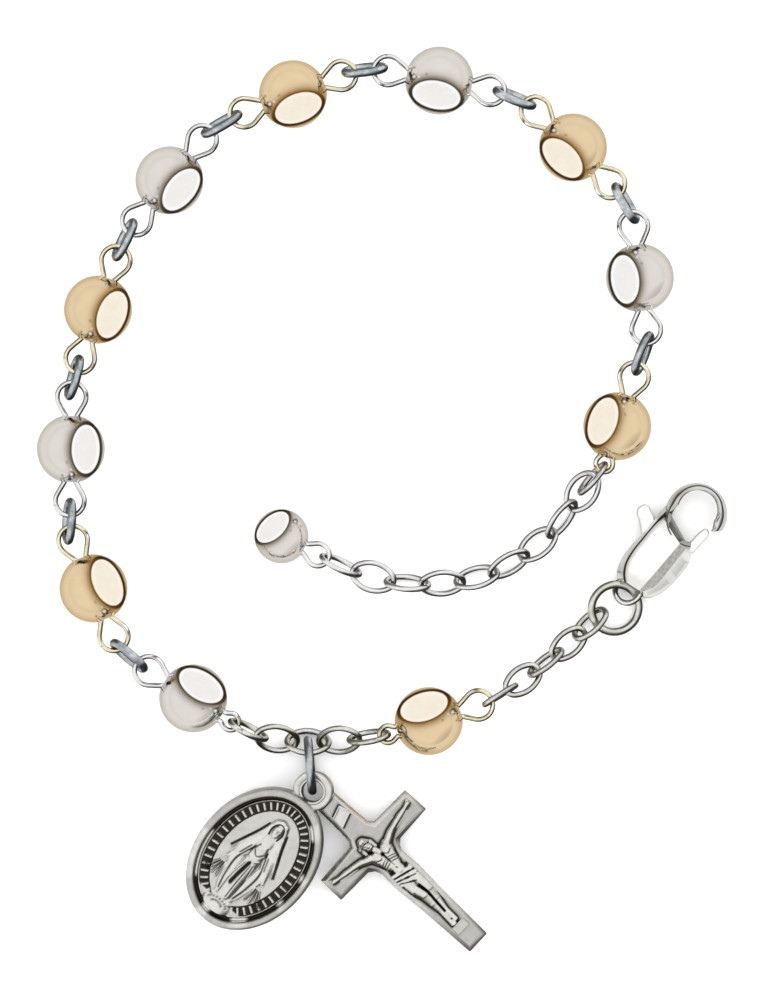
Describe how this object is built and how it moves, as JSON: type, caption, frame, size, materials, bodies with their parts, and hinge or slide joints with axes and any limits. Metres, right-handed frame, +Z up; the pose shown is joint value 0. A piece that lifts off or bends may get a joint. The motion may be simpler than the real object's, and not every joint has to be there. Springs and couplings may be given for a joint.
{
  "type": "rosary bracelet",
  "caption": "Rosary bracelet of round metal beads on looped wire pins and oval links, with an extension chain, a lever clasp, an oval medal and a crucifix, lying open.",
  "frame": {"origin": "middle of the bracelet's box in plan, on the surface that it lies on", "axes": "+Z up from the surface, +Y along the bracelet's longest side from the pendants to the far side of the loop, +X towards the clasp"},
  "size_m": [0.061, 0.08, 0.006],
  "materials": {
    "gold": "bright polished",
    "silver": "bright polished",
    "steel": "polished, darker",
    "clasp_silver": "polished and brushed",
    "old_silver": "antiqued, dark in the recesses"
  },
  "bodies": {
    "bracelet": {"decade_bead_01": "gold", "decade_bead_02": "silver", "decade_bead_03": "gold", "decade_bead_04": "silver", "decade_bead_05": "gold", "decade_bead_06": "silver", "decade_bead_07": "gold", "decade_bead_08": "silver", "decade_bead_09": "gold", "decade_bead_10": "silver", "decade_pin_01": "gold", "decade_pin_02": "silver", "decade_pin_03": "gold", "decade_pin_04": "silver", "decade_pin_05": "gold", "decade_pin_06": "silver", "decade_pin_07": "gold", "decade_pin_08": "silver", "decade_pin_09": "gold", "decade_pin_10": "silver", "connector_01": "steel", "connector_02": "steel", "connector_03": "steel", "connector_04": "steel", "connector_05": "steel", "connector_06": "steel", "connector_07": "steel", "connector_08": "steel", "connector_09": "steel", "prayer_bead": "gold", "prayer_pin": "gold", "end_bead": "silver", "end_pin": "silver", "extension_chain": "silver", "front_chain": "silver", "clasp_chain": "silver", "pendant_ring": "steel", "clasp_ring": "silver", "clasp_body": "clasp_silver", "clasp_pin": "steel", "medal": "old_silver", "crucifix": "old_silver"},
    "lever": {"clasp_lever": "clasp_silver"}
  },
  "joints": [
    {"name": "clasp_lever", "type": "hinge", "parent": "bracelet", "child": "lever", "pos_m": [0.02514, -0.00555, 0.00125], "axis": [0, 0, 1], "range_deg": [0, 16], "stiffness_Nm_per_rad": 0.008, "springref_deg": -17.19}
  ]
}
